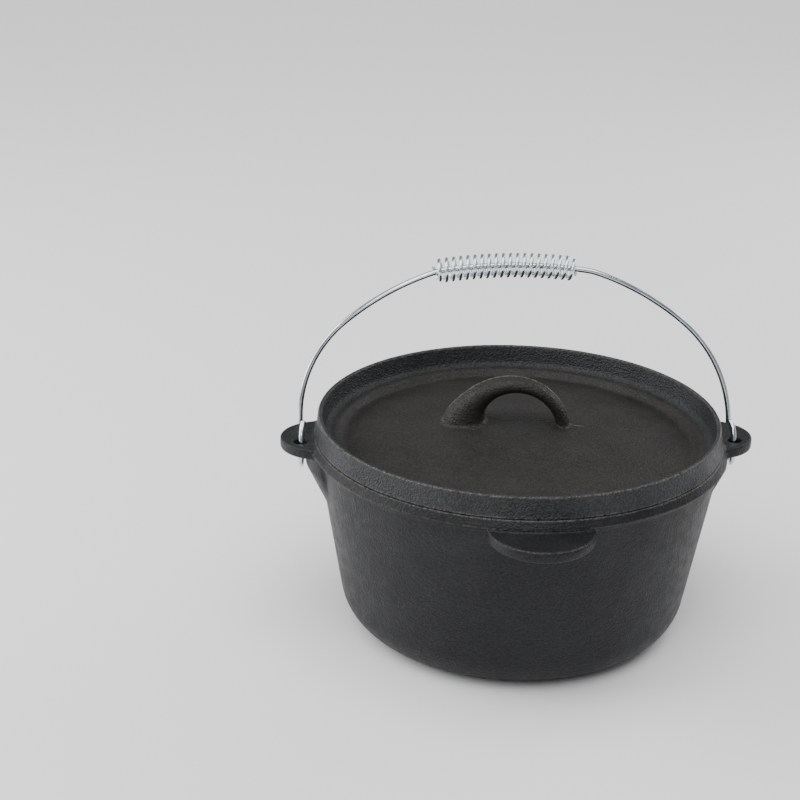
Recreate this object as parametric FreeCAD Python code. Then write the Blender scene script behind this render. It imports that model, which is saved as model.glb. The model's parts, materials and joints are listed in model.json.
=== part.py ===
import FreeCAD, Part
import math
import os

# Camp-style cast iron pot with a lift-off lid and a swinging wire bail. Millimetres, +Z up.
# The origin is the centre of the flat base. X runs through the two ears that carry the bail,
# and the tipping tab points along -Y. There are two castings, one bent wire and one coil grip.

V = FreeCAD.Vector
X_AXIS, Y_AXIS, Z_AXIS = V(1, 0, 0), V(0, 1, 0), V(0, 0, 1)

# Pot
POT_HEIGHT = 130.2
BASE_RADIUS = 109.7          # where the wall's slope would meet the table
BAND_FOOT_Z = 122.6          # where the wall runs out under the band
BAND_FOOT_RADIUS = 130.9
BAND_RADIUS = 135.3          # widest point of the rolled band
BAND_EDGE_Z = 124.2
RIM_RADIUS = 131.9
WALL = 4.5
FLOOR = 5.5
CORNER_RADIUS = 29.0         # outside, between floor and wall
EDGE_ROUND = 0.9

# Ears on the pot, one on each side, with a hole for the bail's eye
EAR_TOP_Z = 128.0
EAR_THICK = 8.0
EAR_CENTRE_X, EAR_CENTRE_Y = 124.0, 3.0
EAR_REACH = 30.3
EAR_HALF_WIDTH = 26.6
EAR_ROUND = 1.8
EAR_HOLE_RADIUS = 4.4
EAR_HOLE_X, EAR_HOLE_Y = 141.0, -7.5

# Half-moon tab for tipping the pot
TAB_TOP_Z = 124.0
TAB_THICK = 7.5
TAB_RADIUS = 32.5
TAB_TIP_RADIUS = 160.8
TAB_ROUND = 2.4

# Sloping fill under the ears and the tab, where they meet the wall: radius and depth of its
# outer corner, how far down the wall it runs, and half its width in degrees
EAR_WEB = (137.4, 8.5, 33.0, 7.5)
TAB_WEB = (134.0, 0.5, 7.0, 12.0)

# Lid
LID_TOP_Z = 144.2
LID_TOP_RADIUS = 130.0
LID_FOOT_RADIUS = 131.4
RIM_INSIDE_RADIUS = 127.2
LEDGE_Z = 130.3              # flat ring inside the raised rim
LEDGE_OUTER_RADIUS = 125.0
LEDGE_INNER_RADIUS = 117.8
GUTTER_RADIUS = 111.3        # foot of the step, where the dome starts
GUTTER_Z = 126.0
DOME_Z = 138.5
LID_PLATE = 4.8
SPIGOT_RADIUS = 126.0        # the part of the lid that drops into the mouth
SPIGOT_FOOT_RADIUS = 125.2

# Loop handle cast on the lid: one arc with a heavy leg and a slim leg
LOOP_RADIUS = 32.0
LOOP_CENTRE = V(-3.0, 0, 132.0)
LOOP_TURN = -6.0             # degrees about Z
LOOP_SECTIONS = (            # degrees along the arc, half thickness, half width
    (-4, 4.4, 8.2), (14, 4.0, 7.4), (36, 4.2, 7.2), (62, 4.6, 7.4), (90, 5.2, 7.8),
    (118, 6.2, 8.2), (142, 7.2, 8.8), (162, 8.6, 9.6), (180, 10.2, 10.8))

# Bail: wire diameter, where its legs stand, the bends of half its arch from the top down, and its
# eyes. The wire is sprung a little to one side, so its right leg stands further out than its left.
WIRE = 3.6
LEG_X = {1: 145.0, -1: 141.2}
BAIL_HEIGHT = 110.7
ARCH_BENDS = ((330.0, 8.0), (50.0, 11.0), (180.0, 21.0))   # radius, degrees turned
EYE_RADIUS = 17.8
EYE_TIP_TURN = 45.0          # degrees past the point opposite the leg
EYE_X = 140.6                # of each eye where it passes through its ear
TIP_SKEW = 14.0              # degrees that the tip leans inwards
REST_LEAN = 11.0             # degrees back from upright
HINGE_Y, HINGE_Z = 10.3, 123.5

# Coil grip, a wound wire that sits loosely on the top of the bail
GRIP_WIRE = 1.8
GRIP_OUTER = 16.5
GRIP_TURNS = 20.5
GRIP_FROM, GRIP_TO = -54.0, 40.0   # along the arch from its middle
GRIP_GAP = 0.35              # between the closed end turns and the bail
POINTS_PER_TURN = 16


def ring(outline):
    """Solid of revolution about Z from an outline of (radius, z) corners."""
    corners = [V(r, 0, z) for r, z in outline]
    face = Part.Face(Part.makePolygon(corners + corners[:1]))
    return face.revolve(V(0, 0, 0), Z_AXIS, 360)


def rounded(solid, rings):
    """Round the full circular edges given as (radius, z, size of the rounding)."""
    for radius, z, size in rings:
        edges = [edge for edge in solid.Edges
                 if not edge.Degenerated and isinstance(edge.Curve, Part.Circle)
                 and abs(edge.Curve.Radius - radius) < 0.05
                 and abs(edge.Curve.Center.z - z) < 0.05]
        solid = solid.makeFillet(size, edges)
    return solid


def level_edges(solid, z):
    """Edges that lie wholly at one height."""
    return [edge for edge in solid.Edges
            if abs(edge.BoundBox.ZMin - z) < 0.01 and abs(edge.BoundBox.ZMax - z) < 0.01]


def wall_radius(z):
    """Outside radius of the sloping wall at a height."""
    slope = (BAND_FOOT_RADIUS - BASE_RADIUS) / BAND_FOOT_Z
    return BASE_RADIUS + slope * z


def pot_body():
    """Outside of the pot as one filled form, without ears."""
    body = ring(((0, 0), (BASE_RADIUS, 0), (BAND_FOOT_RADIUS, BAND_FOOT_Z),
                 (BAND_RADIUS, BAND_EDGE_Z), (RIM_RADIUS, POT_HEIGHT), (0, POT_HEIGHT)))
    return rounded(body, ((BASE_RADIUS, 0, CORNER_RADIUS),
                          (BAND_RADIUS, BAND_EDGE_Z, EDGE_ROUND),
                          (RIM_RADIUS, POT_HEIGHT, EDGE_ROUND)))


def pot_cavity():
    """The space inside the pot, open at the top."""
    bottom = wall_radius(FLOOR) - WALL
    top = wall_radius(POT_HEIGHT) - WALL
    above = POT_HEIGHT + 10.0
    cavity = ring(((0, FLOOR), (bottom, FLOOR), (top, POT_HEIGHT), (top, above), (0, above)))
    return rounded(cavity, ((bottom, FLOOR, CORNER_RADIUS - WALL),))


def ear(side):
    """Half-oval plate with a round hole; side is 1 for +X and -1 for -X."""
    oval = Part.Ellipse(V(side * EAR_CENTRE_X, EAR_CENTRE_Y, EAR_TOP_Z - EAR_THICK),
                        EAR_REACH, EAR_HALF_WIDTH)
    plate = Part.Face(Part.Wire([oval.toShape()])).extrude(V(0, 0, EAR_THICK))
    plate = plate.makeFillet(EAR_ROUND, level_edges(plate, EAR_TOP_Z)
                             + level_edges(plate, EAR_TOP_Z - EAR_THICK))
    hole = Part.makeCylinder(EAR_HOLE_RADIUS, EAR_THICK * 2,
                             V(side * EAR_HOLE_X, EAR_HOLE_Y, EAR_TOP_Z - EAR_THICK * 1.5))
    return plate.cut(hole)


def tab():
    """Half-moon plate at the front."""
    middle = V(0, TAB_RADIUS - TAB_TIP_RADIUS, TAB_TOP_Z - TAB_THICK)
    plate = Part.makeCylinder(TAB_RADIUS, TAB_THICK, middle)
    return plate.makeFillet(TAB_ROUND, level_edges(plate, TAB_TOP_Z)
                            + level_edges(plate, TAB_TOP_Z - TAB_THICK))


def web(under_z, sizes, middle_angle):
    """Sloping fill between the wall and the underside of an ear or the tab."""
    corner_radius, corner_depth, depth, half_angle = sizes
    low = under_z - depth
    corners = [V(wall_radius(under_z) - WALL / 2, 0, under_z), V(corner_radius, 0, under_z),
               V(corner_radius, 0, under_z - corner_depth),
               V(wall_radius(low), 0, low), V(wall_radius(low) - WALL / 2, 0, low)]
    face = Part.Face(Part.makePolygon(corners + corners[:1]))
    face.rotate(V(0, 0, 0), Z_AXIS, middle_angle - half_angle)
    return face.revolve(V(0, 0, 0), Z_AXIS, 2 * half_angle)


def pot():
    """The whole lower casting."""
    webs = [web(EAR_TOP_Z - EAR_THICK, EAR_WEB, middle) for middle in (0, 180)]
    webs.append(web(TAB_TOP_Z - TAB_THICK, TAB_WEB, -90))
    casting = pot_body().multiFuse([ear(1), ear(-1), tab()] + webs)
    return casting.cut(pot_cavity())


def lid_plate():
    """The turned form of the lid: raised rim, ledge, step and shallow dome."""
    dome_radius = (GUTTER_RADIUS ** 2 + (DOME_Z - GUTTER_Z) ** 2) / (2 * (DOME_Z - GUTTER_Z))
    half_way = GUTTER_RADIUS / 2
    sag = dome_radius - math.sqrt(dome_radius ** 2 - half_way ** 2)
    corners = ((GUTTER_RADIUS, GUTTER_Z), (LEDGE_INNER_RADIUS, LEDGE_Z), (LEDGE_OUTER_RADIUS, LEDGE_Z),
               (RIM_INSIDE_RADIUS, LID_TOP_Z), (LID_TOP_RADIUS, LID_TOP_Z), (LID_FOOT_RADIUS, POT_HEIGHT),
               (SPIGOT_RADIUS, POT_HEIGHT), (SPIGOT_FOOT_RADIUS, LEDGE_Z - LID_PLATE),
               (LEDGE_INNER_RADIUS - 1.5, LEDGE_Z - LID_PLATE), (GUTTER_RADIUS, GUTTER_Z - LID_PLATE))
    points = [V(r, 0, z) for r, z in corners]
    edges = [Part.makeLine(a, b) for a, b in zip(points, points[1:])]
    middles = []
    for drop in (0, LID_PLATE):
        middles.append(V(0, 0, DOME_Z - drop))
        rise = V(half_way, 0, DOME_Z - sag - drop)
        edges.append(Part.Arc(V(GUTTER_RADIUS, 0, GUTTER_Z - drop), rise, middles[-1]).toShape())
    edges.append(Part.makeLine(middles[0], middles[1]))
    face = Part.Face(Part.Wire(Part.__sortEdges__(edges)))
    plate = face.revolve(V(0, 0, 0), Z_AXIS, 360)
    return rounded(plate, ((LEDGE_OUTER_RADIUS, LEDGE_Z, 3.0), (LEDGE_INNER_RADIUS, LEDGE_Z, 2.0),
                           (RIM_INSIDE_RADIUS, LID_TOP_Z, EDGE_ROUND), (LID_TOP_RADIUS, LID_TOP_Z, EDGE_ROUND),
                           (LID_FOOT_RADIUS, POT_HEIGHT, EDGE_ROUND)))


def loop_handle():
    """Arched handle with oval sections that thicken towards one foot."""
    rings = []
    for angle, thick, width in LOOP_SECTIONS:
        turn = math.radians(angle)
        outwards = V(math.cos(turn), 0, math.sin(turn))
        across, along = (Y_AXIS, outwards) if width > thick else (outwards, Y_AXIS)
        oval = Part.Ellipse(LOOP_CENTRE + outwards * LOOP_RADIUS + across * max(width, thick),
                            LOOP_CENTRE + outwards * LOOP_RADIUS + along * min(width, thick),
                            LOOP_CENTRE + outwards * LOOP_RADIUS)
        rings.append(Part.Wire([oval.toShape()]))
    loop = Part.makeLoft(rings, True, False)
    loop.rotate(V(0, 0, 0), Z_AXIS, LOOP_TURN)
    return loop


def lid():
    """The upper casting, with its loop trimmed off under the plate."""
    plate = lid_plate()
    below = Part.makeCylinder(60, LID_PLATE, V(0, 0, DOME_Z - 3.0 - LID_PLATE * 2))
    return plate.fuse(loop_handle().cut(below))


def bent(centre, axis, start, heading, degrees, thickness):
    """A round rod bent about an axis, from a start point; the rod first runs along heading."""
    disc = Part.Face(Part.Wire([Part.Circle(start, heading, thickness / 2).toShape()]))
    return disc.revolve(centre, axis, degrees)


def arch_stations(side):
    """Bends of half the arch: radius, degrees before and turned, and start (x, z) with x positive."""
    x, z, heading, stations = 0.0, BAIL_HEIGHT, 0.0, []
    shoulder_start = sum(turned for radius, turned in ARCH_BENDS)
    for radius, turned in ARCH_BENDS + ((None, 90.0 - shoulder_start),):
        before = math.radians(heading)
        if radius is None:
            radius = (LEG_X[side] - x) / (1 - math.sin(before))
        stations.append((radius, heading, turned, x, z))
        heading += turned
        after = math.radians(heading)
        x += radius * (math.sin(after) - math.sin(before))
        z -= radius * (math.cos(before) - math.cos(after))
    return stations, z


def bail_half(side):
    """Half of the bail on the +X side, upright, with the hinge axis along X at the origin. The half
    for side -1 is built there too, and mirrored later."""
    stations, leg_top = arch_stations(side)
    pieces = []
    for radius, heading, turned, x, z in stations:
        angle = math.radians(heading)
        start = V(x, EYE_RADIUS, z)
        centre = start - V(math.sin(angle), 0, math.cos(angle)) * radius
        forward = V(math.cos(angle), 0, -math.sin(angle))
        pieces.append(bent(centre, Y_AXIS, start, forward, turned, WIRE))
    leg_foot = V(LEG_X[side], EYE_RADIUS, 0)
    pieces.append(Part.makeCylinder(WIRE / 2, leg_top, leg_foot, Z_AXIS))
    inwards = (LEG_X[side] - EYE_X) / (EYE_RADIUS * 2)
    forwards = V(-inwards, -math.sqrt(1 - inwards ** 2), 0)
    pieces.append(bent(leg_foot + forwards * EYE_RADIUS, forwards.cross(Z_AXIS), leg_foot, -Z_AXIS, 180, WIRE))
    opposite = leg_foot + forwards * (EYE_RADIUS * 2)
    backwards = V(-math.sin(math.radians(TIP_SKEW)), math.cos(math.radians(TIP_SKEW)), 0)
    pieces.append(bent(opposite + backwards * EYE_RADIUS, Z_AXIS.cross(backwards), opposite, Z_AXIS,
                       EYE_TIP_TURN, WIRE))
    return pieces


def placed(shape):
    """Lean an upright bail piece back to rest and set it on the hinge."""
    shape.rotate(V(0, 0, 0), X_AXIS, -REST_LEAN)
    shape.translate(V(0, HINGE_Y, HINGE_Z))
    return shape


def bail():
    """The bent wire with an eye at each end."""
    right = bail_half(1)
    left = [piece.mirror(V(0, 0, 0), X_AXIS) for piece in bail_half(-1)]
    wire = right[0].multiFuse(right[1:] + left)
    return placed(wire.removeSplitter())


def arch_point(distance):
    """Point and outward direction on the upright arch, at a distance from its middle."""
    side = 1 if distance >= 0 else -1
    stations, leg_top = arch_stations(side)
    left_over = abs(distance)
    for radius, heading, turned, x, z in stations:
        length = radius * math.radians(turned)
        if left_over <= length:
            break
        left_over -= length
    before = math.radians(heading)
    after = before + left_over / radius
    point = V(side * (x + radius * (math.sin(after) - math.sin(before))), EYE_RADIUS,
              z - radius * (math.cos(before) - math.cos(after)))
    return point, V(side * math.sin(after), 0, math.cos(after))


def grip_offset(turns_done):
    """Distance of the coil's wire from the bail's centre, small where the ends close down."""
    wide = (GRIP_OUTER - GRIP_WIRE) / 2
    tight = (WIRE + GRIP_WIRE) / 2 + GRIP_GAP
    from_end = min(turns_done, GRIP_TURNS - turns_done)
    share = min(1.0, from_end / 0.9)
    return tight + (wide - tight) * (1 - math.cos(math.pi * share)) / 2


def bail_grip():
    """Coil wound round the top of the arch."""
    count = round(GRIP_TURNS * POINTS_PER_TURN)
    path_points = []
    for step in range(count + 1):
        turns_done = GRIP_TURNS * step / count
        centre, outwards = arch_point(GRIP_FROM + (GRIP_TO - GRIP_FROM) * step / count)
        angle = 2 * math.pi * turns_done
        radial = outwards * math.cos(angle) + Y_AXIS * math.sin(angle)
        path_points.append(centre + radial * grip_offset(turns_done))
    curve = Part.BSplineCurve()
    curve.interpolate(path_points)
    path = Part.Wire([curve.toShape()])
    section = Part.Wire([Part.Circle(path_points[0], curve.tangent(0.0)[0], GRIP_WIRE / 2).toShape()])
    return placed(path.makePipeShell([section], True, True))


os.makedirs("parts", exist_ok=True)
for node, build in (("pot", pot), ("lid", lid), ("bail", bail), ("bail_grip", bail_grip)):
    solid = build()
    print(node, solid.isValid(), len(solid.Solids), round(solid.Volume), solid.BoundBox)
    solid.exportStep("parts/" + node + ".step")
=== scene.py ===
import json
import math

import bpy
import numpy as np
from bpy.props import FloatProperty, FloatVectorProperty, PointerProperty
from bpy.types import Operator, Panel, PropertyGroup
from mathutils import Matrix, Vector, noise


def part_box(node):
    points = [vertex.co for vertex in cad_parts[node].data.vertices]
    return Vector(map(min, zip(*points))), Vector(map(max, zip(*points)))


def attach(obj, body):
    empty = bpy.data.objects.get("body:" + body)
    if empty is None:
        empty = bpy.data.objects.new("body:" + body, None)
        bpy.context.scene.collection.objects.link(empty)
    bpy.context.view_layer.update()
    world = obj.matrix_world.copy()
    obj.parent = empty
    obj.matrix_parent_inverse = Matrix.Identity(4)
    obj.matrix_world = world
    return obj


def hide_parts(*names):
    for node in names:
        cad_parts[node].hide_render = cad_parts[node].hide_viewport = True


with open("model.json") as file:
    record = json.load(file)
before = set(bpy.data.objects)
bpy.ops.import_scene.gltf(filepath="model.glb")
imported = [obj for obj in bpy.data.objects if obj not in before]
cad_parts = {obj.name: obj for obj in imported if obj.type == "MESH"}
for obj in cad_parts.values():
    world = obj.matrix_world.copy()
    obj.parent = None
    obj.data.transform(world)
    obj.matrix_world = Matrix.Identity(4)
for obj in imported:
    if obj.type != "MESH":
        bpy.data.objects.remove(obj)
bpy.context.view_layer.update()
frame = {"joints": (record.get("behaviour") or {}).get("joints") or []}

bl_info = {
    "name": "Cast Iron Camp Oven",
    "version": (1, 0, 0),
    "blender": (4, 5, 0),
    "location": "View3D > Sidebar > Camp Oven",
    "description": "Builds a cast iron camp oven with its lid, bail and coil grip round a packed frame",
    "category": "Object",
}

POT_LOW, POT_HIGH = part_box("pot")
HINGE = Vector(next(joint for joint in frame["joints"] if joint["name"] == "bail_swing")["pos_m"])

TURN_STEPS = 360             # facets round a turned casting
ARC_STEPS = 12               # points on a rounded corner
LID_HIGH_RIM = 0.1442        # top of the lid's raised rim
LOOP_CENTRE = Vector((-0.003, 0.0, 0.132))   # middle of the loop handle's arc
LOOP_FEET = (-0.035, 0.0285)                 # heavy and light foot of the loop, along its arc's plane
LOOP_SECTIONS = (            # degrees along the arc, half thickness and half width in metres
    (-12, 0.0050, 0.0088), (14, 0.0040, 0.0074), (36, 0.0042, 0.0072), (62, 0.0046, 0.0074),
    (90, 0.0052, 0.0078), (118, 0.0063, 0.0082), (142, 0.0084, 0.0090), (162, 0.0125, 0.0104),
    (172, 0.0153, 0.0116), (192, 0.0185, 0.0132))
EAR_FILL = ((0.1378, 0.0085), 0.036, math.radians(14))   # corner (radius, depth), drop, half angle
TAB_FILL = ((0.1338, 0.0005), 0.007, math.radians(12))
ARCH_BENDS = ((0.330, 8.0), (0.050, 11.0), (0.180, 21.0), (None, 50.0))   # radius, degrees; None fits the leg
CREST_LIFT = 0.0009          # how far the loop's moulding line stands up
CREST_NEAR, CREST_FAR = 0.0036, 0.0130       # how far outside the loop's arc that line can lie
EAR_ROUND, TAB_ROUND = 0.0015, 0.0022        # rounding of the ears' and the tab's edges
SAND_COARSE, SAND_FINE = 0.030, 0.0030       # widths of the lumps that the sand leaves
IRON_SPECULAR = 0.20
LIGHT_AIM = (0, 0, 0.1)
SOFT_LIGHTS = (              # name, place, size and share of the key power
    ("left_light", (-1.45, 0.15, 0.75), 1.3, 0.95), ("right_light", (1.25, 0.85, 0.75), 0.9, 0.3),
    ("front_light", (-0.5, -1.7, 1.3), 0.6, 0.25))
TOP_LIGHT_SPREAD, TOP_LIGHT_TILT = math.radians(60), math.radians(16)
CAMERA_PAN, CAMERA_TILT, CAMERA_ROLL = -3.41, 90 - 21.78, 1.16   # degrees


# ---------------------------------------------------------------- settings

class PotSettings(PropertyGroup):
    """Sizes of the lower casting."""
    base_radius: FloatProperty(
        name="Base Radius", description="Where the wall's slope would meet the table",
        default=0.1097, subtype="DISTANCE", unit="LENGTH")
    foot_radius: FloatProperty(
        name="Band Foot Radius", description="Outside of the wall just under the band",
        default=0.1309, subtype="DISTANCE", unit="LENGTH")
    foot_height: FloatProperty(
        name="Band Foot Height", description="Height at which the wall runs out into the band",
        default=0.1226, subtype="DISTANCE", unit="LENGTH")
    band_radius: FloatProperty(
        name="Band Radius", description="Widest point of the rolled band",
        default=0.1350, subtype="DISTANCE", unit="LENGTH")
    rim_radius: FloatProperty(
        name="Rim Radius", description="Outside of the band at its top",
        default=0.1319, subtype="DISTANCE", unit="LENGTH")
    wall: FloatProperty(
        name="Wall", description="Thickness of the wall",
        default=0.0045, subtype="DISTANCE", unit="LENGTH")
    floor: FloatProperty(
        name="Floor", description="Thickness of the floor",
        default=0.0055, subtype="DISTANCE", unit="LENGTH")
    corner: FloatProperty(
        name="Corner Radius", description="Outside rounding between floor and wall",
        default=0.029, subtype="DISTANCE", unit="LENGTH")
    ear_top: FloatProperty(
        name="Ear Top", description="Height of the ears' upper face",
        default=0.128, subtype="DISTANCE", unit="LENGTH")
    ear_half_width: FloatProperty(
        name="Ear Half Width", description="Half the width of an ear along Y",
        default=0.0266, subtype="DISTANCE", unit="LENGTH")
    ear_middle_y: FloatProperty(
        name="Ear Middle Y", description="Middle of the ears along Y",
        default=0.003, subtype="DISTANCE", unit="LENGTH")
    ear_reach: FloatProperty(
        name="Ear Reach", description="Half the length of the oval that an ear is cut from",
        default=0.0303, subtype="DISTANCE", unit="LENGTH")
    ear_hole: FloatProperty(
        name="Ear Hole Radius", description="Radius of the hole that takes the bail's eye",
        default=0.0044, subtype="DISTANCE", unit="LENGTH")
    ear_hole_x: FloatProperty(
        name="Ear Hole X", description="Distance of each hole from the middle",
        default=0.1410, subtype="DISTANCE", unit="LENGTH")
    ear_hole_y: FloatProperty(
        name="Ear Hole Y", description="Place of each hole along Y",
        default=-0.0075, subtype="DISTANCE", unit="LENGTH")
    tab_top: FloatProperty(
        name="Tab Top", description="Height of the tipping tab's upper face",
        default=0.1233, subtype="DISTANCE", unit="LENGTH")
    tab_radius: FloatProperty(
        name="Tab Radius", description="Radius of the half-moon tab's outline",
        default=0.0325, subtype="DISTANCE", unit="LENGTH")
    plate: FloatProperty(
        name="Plate Thickness", description="Thickness of the ears and the tab",
        default=0.0074, subtype="DISTANCE", unit="LENGTH")


class LidSettings(PropertyGroup):
    """Sizes of the upper casting."""
    top_radius: FloatProperty(
        name="Top Radius", description="Outside of the raised rim at its top",
        default=0.1300, subtype="DISTANCE", unit="LENGTH")
    foot_radius: FloatProperty(
        name="Foot Radius", description="Outside of the raised rim at its foot",
        default=0.1314, subtype="DISTANCE", unit="LENGTH")
    inside_radius: FloatProperty(
        name="Inside Radius", description="Inside of the raised rim at its top",
        default=0.1272, subtype="DISTANCE", unit="LENGTH")
    ledge_height: FloatProperty(
        name="Ledge Height", description="Height of the flat ring inside the rim",
        default=0.1303, subtype="DISTANCE", unit="LENGTH")
    ledge_radius: FloatProperty(
        name="Ledge Radius", description="Where the ledge ends and steps down",
        default=0.1178, subtype="DISTANCE", unit="LENGTH")
    gutter_radius: FloatProperty(
        name="Gutter Radius", description="Foot of the step, where the dome starts",
        default=0.1113, subtype="DISTANCE", unit="LENGTH")
    gutter_height: FloatProperty(
        name="Gutter Height", description="Height at the foot of the step",
        default=0.1260, subtype="DISTANCE", unit="LENGTH")
    dome_height: FloatProperty(
        name="Dome Height", description="Height of the middle of the lid",
        default=0.1385, subtype="DISTANCE", unit="LENGTH")
    plate: FloatProperty(
        name="Plate Thickness", description="Thickness of the lid",
        default=0.0048, subtype="DISTANCE", unit="LENGTH")
    loop_radius: FloatProperty(
        name="Loop Radius", description="Radius of the loop handle's middle line",
        default=0.032, subtype="DISTANCE", unit="LENGTH")
    loop_turn: FloatProperty(
        name="Loop Turn", description="How far the loop is turned about the upright axis",
        default=math.radians(-6), subtype="ANGLE", unit="ROTATION")


class WireSettings(PropertyGroup):
    """Sizes of the bail and its coil grip."""
    bail_wire: FloatProperty(
        name="Bail Wire", description="Diameter of the bail's wire",
        default=0.0036, subtype="DISTANCE", unit="LENGTH")
    right_leg: FloatProperty(
        name="Right Leg", description="Distance of the right leg from the middle",
        default=0.1450, subtype="DISTANCE", unit="LENGTH")
    left_leg: FloatProperty(
        name="Left Leg", description="Distance of the left leg from the middle",
        default=0.1412, subtype="DISTANCE", unit="LENGTH")
    height: FloatProperty(
        name="Height", description="Height of the arch above its eyes",
        default=0.1107, subtype="DISTANCE", unit="LENGTH")
    eye_radius: FloatProperty(
        name="Eye Radius", description="Radius of the eyes' middle line",
        default=0.0178, subtype="DISTANCE", unit="LENGTH")
    eye_x: FloatProperty(
        name="Eye X", description="Distance of each eye from the middle where it passes its ear",
        default=0.1406, subtype="DISTANCE", unit="LENGTH")
    tip_skew: FloatProperty(
        name="Tip Skew", description="How far the tip of each eye leans inwards",
        default=math.radians(14), subtype="ANGLE", unit="ROTATION")
    tip_turn: FloatProperty(
        name="Tip Turn", description="How far each eye turns past the point opposite its leg",
        default=math.radians(45), subtype="ANGLE", unit="ROTATION")
    lean: FloatProperty(
        name="Lean", description="How far the bail leans back from upright at rest",
        default=math.radians(11), subtype="ANGLE", unit="ROTATION")
    grip_wire: FloatProperty(
        name="Grip Wire", description="Diameter of the coil's wire",
        default=0.0024, subtype="DISTANCE", unit="LENGTH")
    grip_outer: FloatProperty(
        name="Grip Diameter", description="Outside diameter of the coil",
        default=0.0165, subtype="DISTANCE", unit="LENGTH")
    grip_from: FloatProperty(
        name="Grip Start", description="Where the coil starts along the arch, from its middle",
        default=-0.054, subtype="DISTANCE", unit="LENGTH")
    grip_to: FloatProperty(
        name="Grip End", description="Where the coil ends along the arch, from its middle",
        default=0.040, subtype="DISTANCE", unit="LENGTH")
    grip_turns: FloatProperty(
        name="Grip Turns", description="Number of turns in the coil", default=20.5)


class FinishSettings(PropertyGroup):
    """Fineness of the castings and the colours of the finishes."""
    voxel: FloatProperty(
        name="Casting Fineness", description="Size of the facets that the castings are skinned with",
        default=0.0008, precision=4, subtype="DISTANCE", unit="LENGTH")
    # Both iron colours are tinted slightly cool: a painted reflection of the side lights on the walls, over
    # the iron's own random patches.
    iron_dark: FloatVectorProperty(
        name="Iron Dark", description="Seasoned iron in its darker patches",
        default=(0.0062, 0.0067, 0.0072), subtype="COLOR")
    iron_light: FloatVectorProperty(
        name="Iron Light", description="Seasoned iron in its paler patches",
        default=(0.018, 0.019, 0.020), subtype="COLOR")
    # The lid plate's colours add painted warm light to the iron's random patches: browner and brighter,
    # standing for the warm light from above reflected in the plate.
    plate_dark_warm_lit: FloatVectorProperty(
        name="Lid Plate Dark", description="Browner iron of the lid's plate in its darker patches",
        default=(0.0140, 0.0133, 0.0122), subtype="COLOR")
    plate_pale_warm_lit: FloatVectorProperty(
        name="Lid Plate Light", description="Browner iron of the lid's plate in its paler patches",
        default=(0.030, 0.0285, 0.0262), subtype="COLOR")
    rust: FloatVectorProperty(
        name="Rust", description="Brown flecks between the grains of the casting",
        default=(0.034, 0.019, 0.013), subtype="COLOR")
    worn: FloatVectorProperty(
        name="Worn Edge", description="Paler metal where the seasoning is rubbed off",
        default=(0.21, 0.19, 0.165), subtype="COLOR")
    zinc: FloatVectorProperty(
        name="Zinc", description="Bright zinc plating",
        default=(0.76, 0.80, 0.84), subtype="COLOR")


class StageSettings(PropertyGroup):
    """Floor, lights and camera."""
    floor_radius: FloatProperty(
        name="Floor Radius", description="Radius of the round floor",
        default=20.0, subtype="DISTANCE", unit="LENGTH")
    floor_colour: FloatVectorProperty(
        name="Floor Colour", description="Colour of the floor",
        default=(0.92, 0.92, 0.92), subtype="COLOR")
    top_strength: FloatProperty(
        name="Top Strength", description="Strength of the wide light from above", default=2.6)
    world_strength: FloatProperty(
        name="Surround Strength", description="Strength of the light from all round", default=0.36)
    key_power: FloatProperty(
        name="Key Power", description="Power of the main soft light in watts", default=26.0)
    camera_place: FloatVectorProperty(
        name="Camera Place", description="Where the camera stands",
        default=(-0.1429, -1.1028, 0.5949), subtype="TRANSLATION", unit="LENGTH")
    camera_lens: FloatProperty(
        name="Lens", description="Focal length in millimetres on a 36 mm sensor", default=83.25)


# ---------------------------------------------------------------- shapes

def new_object(name, mesh):
    """A smooth-shaded object for a mesh, linked into the scene."""
    piece = bpy.data.objects.new(name, mesh)
    bpy.context.scene.collection.objects.link(piece)
    mesh.shade_smooth()
    return piece


def grid_mesh(name, rows, caps=False):
    """Skin over rows of points; each row is a closed ring. Caps close the first and last ring."""
    rows = np.asarray(rows, float)
    count, around = rows.shape[:2]
    faces = []
    for row in range(count - 1):
        here, there = row * around, (row + 1) * around
        for step in range(around):
            after = (step + 1) % around
            faces.append((here + step, here + after, there + after, there + step))
    if caps:
        faces.append(tuple(reversed(range(around))))
        faces.append(tuple(range((count - 1) * around, count * around)))
    mesh = bpy.data.meshes.new(name)
    mesh.from_pydata(rows.reshape(-1, 3).tolist(), [], faces)
    mesh.validate()
    return mesh


def turned(name, outline):
    """A form turned about Z from an outline of (radius, z) that starts and ends on the axis."""
    tiny = 1e-5
    angles = np.linspace(0, 2 * math.pi, TURN_STEPS, endpoint=False)
    rows = [[(max(radius, tiny) * math.cos(a), max(radius, tiny) * math.sin(a), z) for a in angles]
            for radius, z in outline]
    return grid_mesh(name, rows, caps=True)


def arc(centre, radius, start, end, steps=ARC_STEPS):
    """Points on an arc in the (radius, z) plane; angles in radians."""
    return [(centre[0] + radius * math.cos(a), centre[1] + radius * math.sin(a))
            for a in np.linspace(start, end, steps)]


def bowl_corner(base_radius, slope, floor_z, rounding):
    """Rounded corner between a level floor and a wall whose radius grows by slope for each metre up."""
    tilt = math.atan(slope)
    middle = (base_radius + slope * (floor_z + rounding) - rounding / math.cos(tilt), floor_z + rounding)
    return arc(middle, rounding, -math.pi / 2, -tilt)


def slab(name, outline, low, high, rounding):
    """A plate with rounded edges, from a closed outline of (x, y) points about its own middle."""
    outline = np.asarray(outline, float)
    middle = outline.mean(axis=0)
    reach = np.linalg.norm(outline - middle, axis=1).mean()
    rows = []
    for inset, z in (arc((-rounding, low + rounding), rounding, -math.pi / 2, 0, 5)
                     + arc((-rounding, high - rounding), rounding, 0, math.pi / 2, 5)):
        ring = middle + (outline - middle) * (1 + inset / reach)
        rows.append([(x, y, z) for x, y in ring])
    return grid_mesh(name, rows, caps=True)


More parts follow.
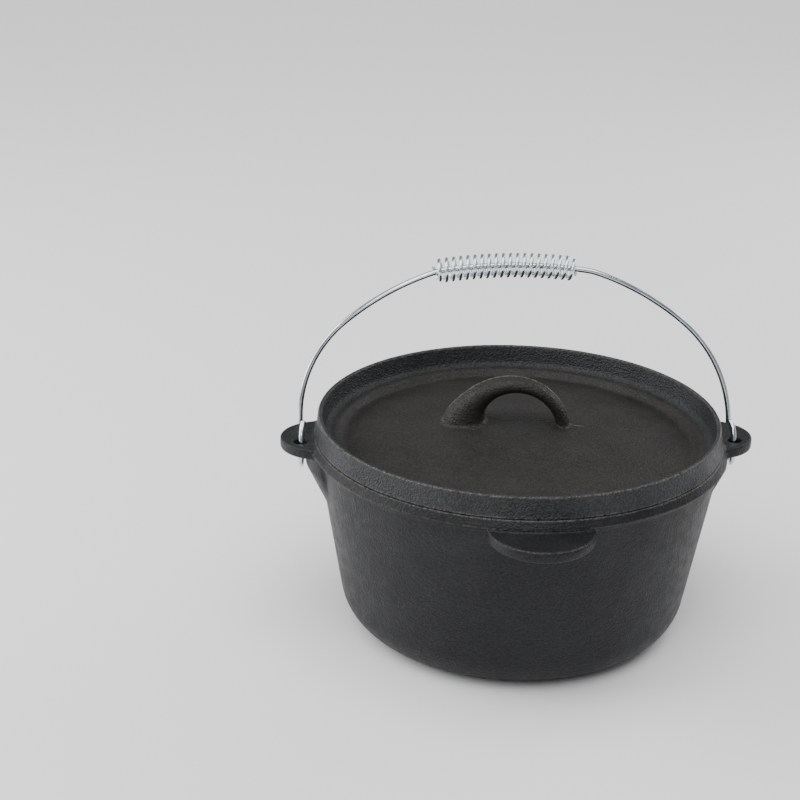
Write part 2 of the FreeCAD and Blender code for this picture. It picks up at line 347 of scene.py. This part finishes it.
def tube(name, points, radius, sides):
    """A round wire along a path, with softly broken edges at its cut ends."""
    points = np.asarray(points, float)
    tangents = np.gradient(points, axis=0)
    tangents /= np.linalg.norm(tangents, axis=1)[:, None]
    side = np.cross(tangents[0], (0.3, 1.0, 0.2))
    rows = []
    angles = np.linspace(0, 2 * math.pi, sides, endpoint=False)
    break_edge = 0.25 * radius
    for index, (point, tangent) in enumerate(zip(points, tangents)):
        side = side - tangent * side.dot(tangent)
        side /= np.linalg.norm(side)
        up = np.cross(tangent, side)
        ring = [point + radius * (side * math.cos(a) + up * math.sin(a)) for a in angles]
        if index == 0:
            rows.append([point - tangent * break_edge + (corner - point) * 0.7 for corner in ring])
        rows.append(ring)
        if index == len(points) - 1:
            rows.append([point + tangent * break_edge + (corner - point) * 0.7 for corner in ring])
    return grid_mesh(name, rows, caps=True)


def with_modifiers(piece, *modifiers):
    """Applies modifiers, given as (type, {setting: value}), and keeps only the resulting mesh."""
    for kind, values in modifiers:
        modifier = piece.modifiers.new(kind.title(), kind)
        for key, value in values.items():
            setattr(modifier, key, value)
    graph = bpy.context.evaluated_depsgraph_get()
    graph.update()
    result = bpy.data.meshes.new_from_object(piece.evaluated_get(graph))
    piece.modifiers.clear()
    old, piece.data = piece.data, result
    bpy.data.meshes.remove(old)
    result.shade_smooth()


def one_skin(name, parts, voxel):
    """Melts overlapping closed meshes into one casting with softly rounded edges."""
    base = new_object(name, parts[0])
    others = [new_object(name + "_part", part) for part in parts[1:]]
    with bpy.context.temp_override(active_object=base, selected_editable_objects=[base] + others):
        bpy.ops.object.join()
    with_modifiers(base, ("REMESH", {"mode": "VOXEL", "voxel_size": voxel}))
    base.data.name = name
    return base


def positions(piece):
    """Vertex positions as an array."""
    flat = np.empty(len(piece.data.vertices) * 3)
    piece.data.vertices.foreach_get("co", flat)
    return flat.reshape(-1, 3)


def soften(piece, near, rounds):
    """Smooths the vertices whose weight in near, an array from 0 to 1, is above 0."""
    group = piece.vertex_groups.new(name="soft")
    for level in (0.25, 0.5, 0.75, 1.0):
        chosen = np.nonzero((near > level - 0.25) & (near <= level))[0]
        group.add(chosen.tolist(), level, "REPLACE")
    with_modifiers(piece, ("SMOOTH", {"factor": 0.5, "iterations": rounds, "vertex_group": "soft"}))
    piece.vertex_groups.clear()


def lumps(points, size, octaves, seed):
    """Fractal noise from about 0 to 1 at each point; size is the width of its largest lumps."""
    shift = Vector((seed * 7.3, seed * 3.1, seed * 5.7))
    values = [noise.fractal(Vector(point) / size + shift, 0.8, 2.0, octaves) for point in points]
    return np.clip(np.array(values) * 0.5 + 0.5, 0, 1)


def sand_skin(piece, depth, seed):
    """Sinks the skin a little, unevenly, as a sand mould leaves it. depth is an array or a number."""
    points = positions(piece)
    normals = np.empty(len(points) * 3)
    piece.data.vertices.foreach_get("normal", normals)
    sunk = 0.5 * lumps(points, SAND_COARSE, 2, seed) + 0.5 * lumps(points, SAND_FINE, 2, seed + 1)
    moved = points - normals.reshape(-1, 3) * (sunk * depth)[:, None]
    piece.data.vertices.foreach_set("co", moved.ravel())
    piece.data.update()


# ---------------------------------------------------------------- finishes

class Finish:
    """A material under construction: add() makes a node and links or sets its inputs."""

    def __init__(self, name):
        self.material = bpy.data.materials.new(name)
        self.material.use_nodes = True
        self.tree = self.material.node_tree
        self.shader = self.tree.nodes["Principled BSDF"]

    def add(self, kind, inputs, **settings):
        """Makes a node; inputs maps a socket's name or number to a value or to another socket."""
        made = self.tree.nodes.new("ShaderNode" + kind)
        for key, value in settings.items():
            setattr(made, key, value)
        for key, value in inputs.items():
            self.give(made.inputs[key], value)
        return made

    def give(self, socket, value):
        """Sets a socket's value, or links another socket into it."""
        if isinstance(value, bpy.types.NodeSocket):
            self.tree.links.new(value, socket)
        else:
            socket.default_value = value

    def maths(self, operation, *values):
        """Output of a Math node."""
        return self.add("Math", dict(enumerate(values)), operation=operation).outputs[0]

    def place(self):
        """Position on the piece, in metres."""
        return self.add("TexCoord", {}).outputs["Object"]

    def cloud(self, vector, scale, detail=3.0, roughness=0.6):
        """Noise value from 0 to 1."""
        return self.add("TexNoise", {"Vector": vector, "Scale": scale, "Detail": detail,
                                     "Roughness": roughness}).outputs["Fac"]

    def between(self, value, low, high, start=0.0, end=1.0):
        """Value remapped from low..high to start..end, with soft ends."""
        return self.add("MapRange", {0: value, 1: low, 2: high, 3: start, 4: end},
                        interpolation_type="SMOOTHSTEP").outputs[0]

    def mix(self, share, first, second):
        """Blend of two colours."""
        blend = self.add("Mix", {0: share}, data_type="RGBA")
        self.give(blend.inputs[6], first)
        self.give(blend.inputs[7], second)
        return blend.outputs[2]

    def bump(self, height, strength, distance, normal=None):
        """Normal bumped by a height."""
        inputs = {"Height": height, "Strength": strength, "Distance": distance}
        if normal is not None:
            inputs["Normal"] = normal
        return self.add("Bump", inputs).outputs[0]


def rgba(colour, share=1.0):
    """A colour property as four numbers, scaled by share."""
    return (colour[0] * share, colour[1] * share, colour[2] * share, 1.0)


def ring_distance(finish, middle, radius, height):
    """Distance of a point on the piece from a level ring round the middle (x, y)."""
    parts = finish.add("SeparateXYZ", {0: finish.place()}).outputs
    flat = finish.add("CombineXYZ", {0: finish.maths("SUBTRACT", parts[0], middle[0]),
                                    1: finish.maths("SUBTRACT", parts[1], middle[1])})
    away = finish.add("VectorMath", {0: flat.outputs[0]}, operation="LENGTH").outputs["Value"]
    total = finish.add("CombineXYZ", {0: finish.maths("SUBTRACT", away, radius),
                                      1: finish.maths("SUBTRACT", parts[2], height)})
    return finish.add("VectorMath", {0: total.outputs[0]}, operation="LENGTH").outputs["Value"]


def crest_distance(finish, lid):
    """Distance of a point on the lid from the moulding line along the loop's crest."""
    turned_place = finish.add("VectorRotate", {"Vector": finish.place(), "Angle": -lid.loop_turn},
                              rotation_type="Z_AXIS").outputs[0]
    parts = finish.add("SeparateXYZ", {0: turned_place}).outputs
    flat = finish.add("CombineXYZ", {0: finish.maths("SUBTRACT", parts[0], LOOP_CENTRE.x),
                                     2: finish.maths("SUBTRACT", parts[2], LOOP_CENTRE.z)})
    away = finish.add("VectorMath", {0: flat.outputs[0]}, operation="LENGTH").outputs["Value"]
    inside = finish.maths("MAXIMUM", finish.maths("SUBTRACT", lid.loop_radius + CREST_NEAR, away), 0.0)
    beyond = finish.maths("MAXIMUM", finish.maths("SUBTRACT", away, lid.loop_radius + CREST_FAR), 0.0)
    total = finish.add("CombineXYZ", {0: finish.maths("ADD", inside, beyond), 1: parts[1]})
    return finish.add("VectorMath", {0: total.outputs[0]}, operation="LENGTH").outputs["Value"]


def cast_iron(name, settings, grain, edges, lid=None):
    """Seasoned sand-cast iron. grain scales the sand's relief. Each edge is a level ring that has worn
    brighter: (middle, radius, height, width, strength). With the lid's settings, the plate carries a
    painted warm light, browner and brighter, and the rim a paler painted copy of the iron that stands
    for the light on its walls; the rim is rougher, and the moulding line on the loop is worn as well."""
    finish = Finish(name)
    place = finish.place()
    patches = finish.cloud(place, scale=30.0, detail=5.0)
    speckle = finish.cloud(place, scale=640.0, detail=3.0, roughness=0.7)
    tone = finish.between(finish.maths("ADD", finish.maths("MULTIPLY", patches, 0.3),
                                       finish.maths("MULTIPLY", speckle, 0.7)), 0.36, 0.66)
    colour = finish.mix(tone, rgba(settings.iron_dark), rgba(settings.iron_light))
    grit = 0.42 * grain      # strength of the finest relief
    if lid is not None:
        # Plate colour: the iron's random patches with painted warm light from above.
        plate = finish.mix(tone, rgba(settings.plate_dark_warm_lit), rgba(settings.plate_pale_warm_lit))
        parts = finish.add("SeparateXYZ", {0: place}).outputs
        flat = finish.add("CombineXYZ", {0: parts[0], 1: parts[1]}).outputs[0]
        away = finish.add("VectorMath", {0: flat}, operation="LENGTH").outputs["Value"]
        rim = finish.between(away, lid.ledge_radius - 0.002, lid.inside_radius - 0.001)
        # Rim colour: a paler copy of the iron, up to 2.3 times as bright. This is painted light that stands
        # for the light on the rim's walls, and it blends inward into the plate colour.
        colour = finish.mix(rim, plate, finish.mix(tone, rgba(settings.iron_light),
                                                   rgba(settings.iron_light, 2.3)))
        grit = finish.maths("ADD", finish.maths("MULTIPLY", rim, 0.3), grit)
    rust = finish.between(finish.cloud(place, scale=480.0, detail=2.0), 0.62, 0.74, 0.0, 0.5)
    colour = finish.mix(rust, colour, rgba(settings.rust))
    ragged_cloud = finish.cloud(place, scale=90.0, detail=4.0, roughness=0.75)

    def worn(distance, width, strength):
        """Ragged line of bare metal about width wide where distance is small."""
        ragged = finish.maths("MULTIPLY", ragged_cloud, width * 3.2)
        return finish.between(finish.maths("SUBTRACT", distance, ragged),
                              -width * 1.3, width * 0.1, strength, 0.0)

    wear = 0.0
    for middle, radius, height, width, strength in edges:
        ring = ring_distance(finish, middle, radius, height)
        wear = finish.maths("MAXIMUM", wear, worn(ring, width, strength))
    if lid is not None:
        wear = finish.maths("MAXIMUM", wear, worn(crest_distance(finish, lid), 0.0006, 0.55))
    broken = finish.maths("MULTIPLY", wear, finish.between(speckle, 0.38, 0.58, 0.1, 1.0))
    colour = finish.mix(broken, colour, rgba(settings.worn))
    dull = finish.between(finish.cloud(place, scale=120.0, detail=4.0), 0.3, 0.7, 0.40, 0.53)
    rubbed = 0.34
    rough = finish.add("Mix", {0: broken, 2: dull, 3: rubbed}).outputs[0]
    pebbles = finish.add("TexVoronoi", {"Vector": place, "Scale": 840.0, "Smoothness": 0.5},
                         feature="SMOOTH_F1").outputs["Distance"]
    swells = finish.cloud(place, scale=330.0, detail=1.0, roughness=0.5)
    relief = 0.0009
    fine = finish.bump(pebbles, grit, relief, finish.bump(swells, 0.16 * grain, relief))
    finish.give(finish.shader.inputs["Base Color"], colour)
    finish.give(finish.shader.inputs["Roughness"], rough)
    finish.give(finish.shader.inputs["Normal"], fine)
    finish.give(finish.shader.inputs["Specular IOR Level"], IRON_SPECULAR)
    return finish.material


def zinc_plate(name, settings, tarnish):
    """Bright zinc plating on drawn wire, with fine scuffs and dull clouds."""
    finish = Finish(name)
    place = finish.place()
    clouds = finish.cloud(place, scale=60.0, detail=4.0)
    colour = finish.mix(finish.between(clouds, 0.35, 0.7), rgba(settings.zinc),
                        rgba(settings.zinc, 1.0 - tarnish))
    scuffs = finish.cloud(place, scale=700.0, detail=4.0, roughness=0.7)
    finish.give(finish.shader.inputs["Base Color"], colour)
    finish.give(finish.shader.inputs["Metallic"], 1.0)
    finish.give(finish.shader.inputs["Roughness"], finish.between(scuffs, 0.35, 0.7, 0.10, 0.20))
    finish.give(finish.shader.inputs["Normal"], finish.bump(scuffs, 0.12, 0.0002))
    return finish.material


def dress(piece, material, body, node):
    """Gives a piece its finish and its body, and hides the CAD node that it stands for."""
    piece.data.materials.clear()
    piece.data.materials.append(material)
    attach(piece, body)
    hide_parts(node)


# ---------------------------------------------------------------- pot

def pot_outline(pot):
    """Half section of the pot, from the middle of the base round to the middle of the floor."""
    slope = (pot.foot_radius - pot.base_radius) / pot.foot_height
    rim = POT_HIGH.z
    inner_base = pot.base_radius - pot.wall
    outside = [(0.0, 0.0)] + bowl_corner(pot.base_radius, slope, 0.0, pot.corner)
    cove = 0.0022
    outside += [(pot.foot_radius - slope * cove, pot.foot_height - cove),
                (pot.foot_radius + cove * 0.35, pot.foot_height - cove * 0.1),
                (pot.band_radius - 0.0009, pot.foot_height + 0.0011),
                (pot.band_radius, pot.foot_height + 0.0020),
                (pot.band_radius - 0.0004, pot.foot_height + 0.0031),
                (pot.rim_radius + 0.0003, rim - 0.0005), (pot.rim_radius - 0.0003, rim)]
    inside_top = inner_base + slope * rim
    inside = [(inside_top + 0.0008, rim), (inside_top, rim - 0.0009)]
    corner = bowl_corner(inner_base, slope, pot.floor, pot.corner - pot.wall)
    return outside + inside + corner[::-1] + [(0.0, pot.floor)]


def ear_mesh(pot, side):
    """Half-oval plate whose inner end is buried in the wall, with a hole for the bail's eye."""
    middle = POT_HIGH.x - pot.ear_reach
    buried = pot.foot_radius - pot.wall * 0.4
    oval = [(middle + pot.ear_reach * math.cos(a), pot.ear_middle_y + pot.ear_half_width * math.sin(a))
            for a in np.linspace(-math.pi / 2, math.pi / 2, 72)]
    oval = [(x, y) for x, y in oval if math.hypot(x, y) > buried]
    turns = [math.atan2(oval[end][1], oval[end][0]) for end in (-1, 0)]
    root = [(buried * math.cos(a), buried * math.sin(a)) for a in np.linspace(*turns, 18)]
    outline = [(side * x, y) for x, y in oval + root[1:-1]]
    plate = new_object("ear", slab("ear", outline, pot.ear_top - pot.plate, pot.ear_top, EAR_ROUND))
    drill_row = [[(side * pot.ear_hole_x + pot.ear_hole * math.cos(a),
                   pot.ear_hole_y + pot.ear_hole * math.sin(a), z)
                  for a in np.linspace(0, 2 * math.pi, 48, endpoint=False)]
                 for z in (pot.ear_top - pot.plate * 2, pot.ear_top + pot.plate)]
    drill = new_object("drill", grid_mesh("drill", drill_row, caps=True))
    for solid in (plate, drill):
        if face_winding(solid.data) < 0:
            solid.data.flip_normals()
    with_modifiers(plate, ("BOOLEAN", {"operation": "DIFFERENCE", "object": drill, "solver": "EXACT"}))
    bpy.data.objects.remove(drill)
    mesh = plate.data.copy()
    bpy.data.objects.remove(plate)
    return mesh


def face_winding(mesh):
    """Signed volume of a closed mesh; negative if its faces point inwards."""
    total = 0.0
    for face in mesh.polygons:
        corners = [mesh.vertices[index].co for index in face.vertices]
        for second, third in zip(corners[1:], corners[2:]):
            total += corners[0].dot(second.cross(third))
    return total


def tab_mesh(pot):
    """Half-moon plate at the front, buried in the wall."""
    middle_y = POT_LOW.y + pot.tab_radius
    buried = pot.foot_radius - pot.wall * 0.4
    across = [(pot.tab_radius * math.cos(a), middle_y + pot.tab_radius * math.sin(a))
              for a in np.linspace(math.pi, 2 * math.pi, 64)]
    half = math.asin(pot.tab_radius * 0.985 / buried)
    root = [(buried * math.sin(a), -buried * math.cos(a)) for a in np.linspace(half, -half, 24)]
    return slab("tab", across + root, pot.tab_top - pot.plate, pot.tab_top, TAB_ROUND)


def web_mesh(pot, under, corner, drop, half_angle, middle_angle):
    """Sloping fill between the wall and the underside of an ear or the tab. Its corner, given as
    (radius, depth), draws in towards both sides, so that the fill swells out of the wall."""
    slope = (pot.foot_radius - pot.base_radius) / pot.foot_height
    wall = pot.base_radius + slope * under
    inside = pot.wall * 0.6
    rows = []
    for share in np.linspace(-1, 1, 40):
        bulge = (0.5 + 0.5 * math.cos(math.pi * share)) ** 0.3
        radius = wall - 0.001 + (corner[0] + 0.001 - wall) * bulge
        low = under - corner[1] - (drop - corner[1]) * (0.3 + 0.7 * bulge)
        run_out = wall - slope * (under - low)
        section = [(wall - inside, under + 0.003), (radius, under + 0.003), (radius, under - corner[1]),
                   (run_out - 0.0002, low), (wall - inside - slope * (under - low), low)]
        a = middle_angle + share * half_angle
        rows.append([(r * math.cos(a), r * math.sin(a), z) for r, z in section])
    return grid_mesh("web", rows, caps=True)


class OVEN_OT_pot(Operator):
    """Build the lower casting with its ears and tipping tab"""
    bl_idname = "camp_oven.pot"
    bl_label = "Pot"

    def execute(self, context):
        scene = context.scene
        pot, finishes = scene.oven_pot, scene.oven_finish
        parts = [turned("pot_casting", pot_outline(pot)), tab_mesh(pot)]
        parts += [ear_mesh(pot, side) for side in (1, -1)]
        parts += [web_mesh(pot, pot.ear_top - pot.plate, *EAR_FILL, middle) for middle in (0, math.pi)]
        parts.append(web_mesh(pot, pot.tab_top - pot.plate, *TAB_FILL, -math.pi / 2))
        piece = one_skin("pot_casting", parts, finishes.voxel)
        points = positions(piece)
        radius = np.hypot(points[:, 0], points[:, 1])
        from_band = np.abs(radius - pot.band_radius + 0.001)
        angle = np.arctan2(np.abs(points[:, 1]), np.abs(points[:, 0]))
        fill_foot, fill_inside, fill_reach = 0.075, 0.120, 0.27      # metres, metres, radians
        by_ear = (angle < fill_reach) & (points[:, 2] < pot.ear_top + 0.003) & (points[:, 2] > fill_foot)
        near = np.where(by_ear & (radius > fill_inside), np.clip(1.2 - from_band / 0.009, 0, 1), 0)
        soften(piece, near, 8)
        with_modifiers(piece, ("SMOOTH", {"factor": 0.5, "iterations": 1}))
        sand_depth = 0.00014 * np.clip((POT_HIGH.z - points[:, 2]) / 0.002, 0.1, 1)   # shallow at the seat
        sand_skin(piece, sand_depth, 3)
        tab_y = POT_LOW.y + pot.tab_radius
        edges = (((0, 0), pot.band_radius, pot.foot_height + 0.0022, 0.0005, 0.2),
                 ((0, 0), pot.rim_radius + 0.0002, POT_HIGH.z - 0.0004, 0.0005, 0.3),
                 ((0, tab_y), pot.tab_radius - 0.0006, pot.tab_top - 0.0004, 0.0004, 0.25))
        iron = cast_iron("pot_iron", finishes, 1.0, edges)
        dress(piece, iron, "pot", "pot")
        return {"FINISHED"}


# ---------------------------------------------------------------- lid

def lid_outline(lid):
    """Half section of the lid, from the middle of its underside round to the middle of its top."""
    rise = lid.dome_height - lid.gutter_height
    dome = (lid.gutter_radius ** 2 + rise ** 2) / (2 * rise)
    edge = math.asin(lid.gutter_radius / dome)
    top = arc((0.0, lid.dome_height - dome), dome, math.pi / 2, math.pi / 2 - edge, 30)
    under = [(radius, z - lid.plate) for radius, z in top]
    seat, rim = POT_HIGH.z, LID_HIGH_RIM
    spigot, wall_foot, fillet = 0.1260, 0.1252, 0.0045
    outside = [(lid.ledge_radius - 0.0015, lid.ledge_height - lid.plate),
               (spigot - 0.0008, lid.ledge_height - lid.plate), (spigot, seat),
               (lid.foot_radius, seat), (lid.foot_radius + 0.0003, seat + 0.0003),
               (lid.foot_radius, seat + 0.0012), (lid.foot_radius - 0.0002, seat + 0.0024),
               (lid.top_radius + 0.0001, rim - 0.0009), (lid.top_radius - 0.0008, rim),
               (lid.inside_radius + 0.0007, rim), (lid.inside_radius - 0.0002, rim - 0.0009)]
    inner_foot = (wall_foot - fillet, lid.ledge_height + fillet)
    hollow = arc(inner_foot, fillet, math.radians(-6), -math.pi / 2, 8)
    drop = lid.ledge_height - lid.gutter_height
    step = [(lid.ledge_radius + 0.0012 - share * (lid.ledge_radius - lid.gutter_radius),
             lid.ledge_height - drop * (0.5 - 0.5 * math.cos(math.pi * share)))
            for share in np.linspace(0, 1, 12)]
    return under + outside + hollow + step + top[::-1]


def loop_half_sizes(angle):
    """Half thickness and half width of the loop's section at an angle along its arc."""
    stations = np.array(LOOP_SECTIONS)
    near = math.degrees(angle) + np.linspace(-8, 8, 9)
    return [float(np.interp(near, stations[:, 0], stations[:, column]).mean()) for column in (1, 2)]


def loop_mesh(lid):
    """The arched handle: oval sections along an arc, with a thin moulding line along its crest."""
    turn = Matrix.Rotation(lid.loop_turn, 3, "Z")
    rows = []
    for angle in np.linspace(math.radians(-9), math.radians(186), 72):
        thick, wide = loop_half_sizes(angle)
        outwards = Vector((math.cos(angle), 0, math.sin(angle)))
        row = []
        for a in np.linspace(0, 2 * math.pi, 48, endpoint=False):
            crest = CREST_LIFT * math.exp(-(math.remainder(a, 2 * math.pi) / 0.13) ** 2)
            offset = outwards * ((thick + crest) * math.cos(a)) + Vector((0, wide * math.sin(a), 0))
            row.append(turn @ (LOOP_CENTRE + outwards * lid.loop_radius + offset))
        rows.append(row)
    return grid_mesh("loop", rows, caps=True)


class OVEN_OT_lid(Operator):
    """Build the upper casting with its loop handle"""
    bl_idname = "camp_oven.lid"
    bl_label = "Lid"

    def execute(self, context):
        lid, finishes = context.scene.oven_lid, context.scene.oven_finish
        piece = one_skin("lid_casting", [turned("lid_casting", lid_outline(lid)), loop_mesh(lid)],
                         finishes.voxel)
        points = positions(piece)
        radius = np.hypot(points[:, 0], points[:, 1])
        feet = [Matrix.Rotation(lid.loop_turn, 3, "Z") @ Vector((x, 0, lid.dome_height)) for x in LOOP_FEET]
        gap = np.min([np.linalg.norm(points - np.array(foot), axis=1) for foot in feet], axis=0)
        foot_reach, fade = 0.021, 0.009
        soften(piece, np.clip((foot_reach - gap) / fade, 0, 1) * (points[:, 2] > lid.dome_height - 0.003), 6)
        with_modifiers(piece, ("SMOOTH", {"factor": 0.5, "iterations": 1}))
        outer_wall = 0.1285
        on_wall = np.clip((radius - outer_wall) / 0.001, 0, 1) * (points[:, 2] > POT_HIGH.z + 0.002)
        off_seat = np.clip((np.abs(points[:, 2] - POT_HIGH.z) - 0.0005) / 0.0015, 0.1, 1)
        sand_skin(piece, (0.00006 + 0.00010 * on_wall) * off_seat, 11)
        edges = (((0, 0), lid.top_radius - 0.0003, LID_HIGH_RIM - 0.0004, 0.0005, 0.35),
                 ((0, 0), lid.inside_radius + 0.0002, LID_HIGH_RIM - 0.0004, 0.0004, 0.3),
                 ((0, 0), lid.foot_radius + 0.0002, POT_HIGH.z + 0.0008, 0.0004, 0.3),
                 (feet[0].xy, 0.0150, lid.dome_height + 0.0004, 0.0010, 0.5))
        iron = cast_iron("lid_iron", finishes, 1.1, edges, lid)
        dress(piece, iron, "lid", "lid")
        return {"FINISHED"}


# ---------------------------------------------------------------- bail and grip

def arch_bends(wires, side):
    """Bends of half the arch from the top down: radius, heading before, angle turned, start (x, z)."""
    leg = wires.right_leg if side > 0 else wires.left_leg
    x, z, heading, stations = 0.0, wires.height, 0.0, []
    for radius, turned_by in ARCH_BENDS:
        before = math.radians(heading)
        radius = radius or (leg - x) / (1 - math.sin(before))
        stations.append((radius, before, math.radians(turned_by), x, z))
        heading += turned_by
        after = math.radians(heading)
        x += radius * (math.sin(after) - math.sin(before))
        z -= radius * (math.cos(before) - math.cos(after))
    return stations, z


def arch_point(wires, distance):
    """Point and outward direction on the upright arch, at a distance from its middle."""
    side = math.copysign(1.0, distance)
    left_over = abs(distance)
    for radius, before, turned_by, x, z in arch_bends(wires, side)[0]:
        if left_over <= radius * turned_by:
            break
        left_over -= radius * turned_by
    after = before + left_over / radius
    point = Vector((side * (x + radius * (math.sin(after) - math.sin(before))), wires.eye_radius,
                    z - radius * (math.cos(before) - math.cos(after))))
    return point, Vector((side * math.sin(after), 0.0, math.cos(after)))


def at_rest(wires, points):
    """Points of the upright bail leaned back and set on the hinge."""
    lean = Matrix.Rotation(-wires.lean, 3, "X")
    return [lean @ Vector(point) + HINGE for point in points]


def half_bail(wires, side):
    """Middle line of half the bail from the top of the arch to the cut tip of its eye."""
    stations, leg_top = arch_bends(wires, side)
    leg = wires.right_leg if side > 0 else wires.left_leg
    length = sum(radius * turned_by for radius, before, turned_by, x, z in stations)
    points = [arch_point(wires, side * distance)[0] for distance in np.linspace(0.0005, length - 1e-6, 160)]
    points += [Vector((side * leg, wires.eye_radius, z)) for z in np.linspace(leg_top, 0, 8)[1:]]
    radius, tip_skew = wires.eye_radius, wires.tip_skew
    inwards = (leg - wires.eye_x) / (wires.eye_radius * 2)
    for heading, drop, turned_by in (
            (Vector((-side * inwards, -math.sqrt(1 - inwards ** 2), 0)), -1, math.pi),
            (Vector((-side * math.sin(tip_skew), math.cos(tip_skew), 0)), 1, wires.tip_turn)):
        start = points[-1]
        for angle in np.linspace(0, turned_by, 36)[1:]:
            points.append(start + heading * (radius * (1 - math.cos(angle)))
                          + Vector((0, 0, drop * radius * math.sin(angle))))
    return points


class OVEN_OT_bail(Operator):
    """Build the bent wire bail with an eye at each end"""
    bl_idname = "camp_oven.bail"
    bl_label = "Bail"

    def execute(self, context):
        wires, finishes = context.scene.oven_wire, context.scene.oven_finish
        path = half_bail(wires, -1)[::-1] + half_bail(wires, 1)
        mesh = tube("bail_wire", at_rest(wires, path), wires.bail_wire / 2, 24)
        zinc = zinc_plate("bail_zinc", finishes, 0.35)
        dress(new_object("bail_wire", mesh), zinc, "bail", "bail")
        return {"FINISHED"}


class OVEN_OT_grip(Operator):
    """Build the wound coil grip on the top of the bail"""
    bl_idname = "camp_oven.grip"
    bl_label = "Coil Grip"

    def execute(self, context):
        wires, finishes = context.scene.oven_wire, context.scene.oven_finish
        wide = (wires.grip_outer - wires.grip_wire) / 2
        play = 0.0003
        tight = (wires.bail_wire + wires.grip_wire) / 2 + play
        path = []
        points_per_turn = 44
        for share in np.linspace(0, 1, int(wires.grip_turns * points_per_turn)):
            done = wires.grip_turns * share
            centre, outwards = arch_point(wires, wires.grip_from + (wires.grip_to - wires.grip_from) * share)
            from_end = min(1.0, min(done, wires.grip_turns - done) / 0.9)
            offset = tight + (wide - tight) * (1 - math.cos(math.pi * from_end)) / 2
            angle = 2 * math.pi * done
            path.append(centre + (outwards * math.cos(angle) + Vector((0, math.sin(angle), 0))) * offset)
        mesh = tube("coil_grip", at_rest(wires, path), wires.grip_wire / 2, 14)
        zinc = zinc_plate("grip_zinc", finishes, 0.15)
        dress(new_object("coil_grip", mesh), zinc, "bail", "bail_grip")
        return {"FINISHED"}


# ---------------------------------------------------------------- stage

def soft_light(name, place, size, power):
    """A square soft light aimed at the oven."""
    data = bpy.data.lights.new(name, "AREA")
    data.size, data.energy = size, power
    lamp = bpy.data.objects.new(name, data)
    lamp.location = place
    lamp.rotation_euler = (Vector(LIGHT_AIM) - Vector(place)).to_track_quat("-Z", "Y").to_euler()
    bpy.context.scene.collection.objects.link(lamp)


class OVEN_OT_stage(Operator):
    """Build the floor, the soft lights and the camera"""
    bl_idname = "camp_oven.stage"
    bl_label = "Stage"

    def execute(self, context):
        stage = context.scene.oven_stage
        rings = [[(radius * math.cos(a), radius * math.sin(a), 0.0)
                  for a in np.linspace(0, 2 * math.pi, 96, endpoint=False)]
                 for radius in (0.01, 0.5, 2.0, 6.0, stage.floor_radius)]
        mesh = grid_mesh("floor", rings)
        floor = new_object("floor", mesh)
        paint = Finish("floor_paint")
        shade = paint.between(paint.cloud(paint.place(), 3.0), 0.2, 0.8, 0.97, 1.0)
        paint.give(paint.shader.inputs["Base Color"],
                   paint.mix(shade, rgba(stage.floor_colour, 0.9), rgba(stage.floor_colour)))
        paint.give(paint.shader.inputs["Roughness"], 0.7)
        mesh.materials.append(paint.material)

        for name, place, size, share in SOFT_LIGHTS:
            soft_light(name, place, size, stage.key_power * share)
        above = bpy.data.lights.new("top_light", "SUN")
        above.angle, above.energy = TOP_LIGHT_SPREAD, stage.top_strength
        lamp = bpy.data.objects.new("top_light", above)
        lamp.rotation_euler = (TOP_LIGHT_TILT, 0, 0)
        context.scene.collection.objects.link(lamp)
        world = bpy.data.worlds.new("studio")
        world.use_nodes = True
        surround = world.node_tree.nodes["Background"].inputs
        surround["Color"].default_value = (0.94, 0.97, 1.0, 1.0)
        surround["Strength"].default_value = stage.world_strength
        context.scene.world = world

        data = bpy.data.cameras.new("camera")
        data.lens, data.sensor_width = stage.camera_lens, 36.0
        camera = bpy.data.objects.new("camera", data)
        pan, tilt, roll = (math.radians(angle) for angle in (CAMERA_PAN, CAMERA_TILT, CAMERA_ROLL))
        turn = Matrix.Rotation(pan, 4, "Z") @ Matrix.Rotation(tilt, 4, "X") @ Matrix.Rotation(roll, 4, "Z")
        camera.matrix_world = Matrix.Translation(stage.camera_place) @ turn
        context.scene.collection.objects.link(camera)
        context.scene.camera = camera
        return {"FINISHED"}


# ---------------------------------------------------------------- add-on

class OVEN_PT_panel(Panel):
    """Lists the pieces of the camp oven"""
    bl_label = "Camp Oven"
    bl_idname = "OVEN_PT_panel"
    bl_space_type = "VIEW_3D"
    bl_region_type = "UI"
    bl_category = "Camp Oven"

    def draw(self, context):
        for operator in OPERATORS:
            self.layout.operator(operator.bl_idname)
        for name in SETTINGS:
            settings = getattr(context.scene, name)
            box = self.layout.box()
            for key in settings.__annotations__:
                box.prop(settings, key)


OPERATORS = (OVEN_OT_stage, OVEN_OT_pot, OVEN_OT_lid, OVEN_OT_bail, OVEN_OT_grip)
SETTINGS = {"oven_pot": PotSettings, "oven_lid": LidSettings, "oven_wire": WireSettings,
            "oven_finish": FinishSettings, "oven_stage": StageSettings}


def register():
    """Registers the classes and hangs the settings on the scene."""
    for group in SETTINGS.values():
        bpy.utils.register_class(group)
    for part in OPERATORS + (OVEN_PT_panel,):
        bpy.utils.register_class(part)
    for name, group in SETTINGS.items():
        setattr(bpy.types.Scene, name, PointerProperty(type=group))


def unregister():
    """Takes the settings and classes away again."""
    for name in SETTINGS:
        delattr(bpy.types.Scene, name)
    for part in tuple(SETTINGS.values()) + OPERATORS + (OVEN_PT_panel,):
        bpy.utils.unregister_class(part)


def main():
    """Builds the whole oven."""
    register()
    bpy.ops.camp_oven.stage()
    bpy.ops.camp_oven.pot()
    bpy.ops.camp_oven.lid()
    bpy.ops.camp_oven.bail()
    bpy.ops.camp_oven.grip()


if __name__ == "__main__":
    main()
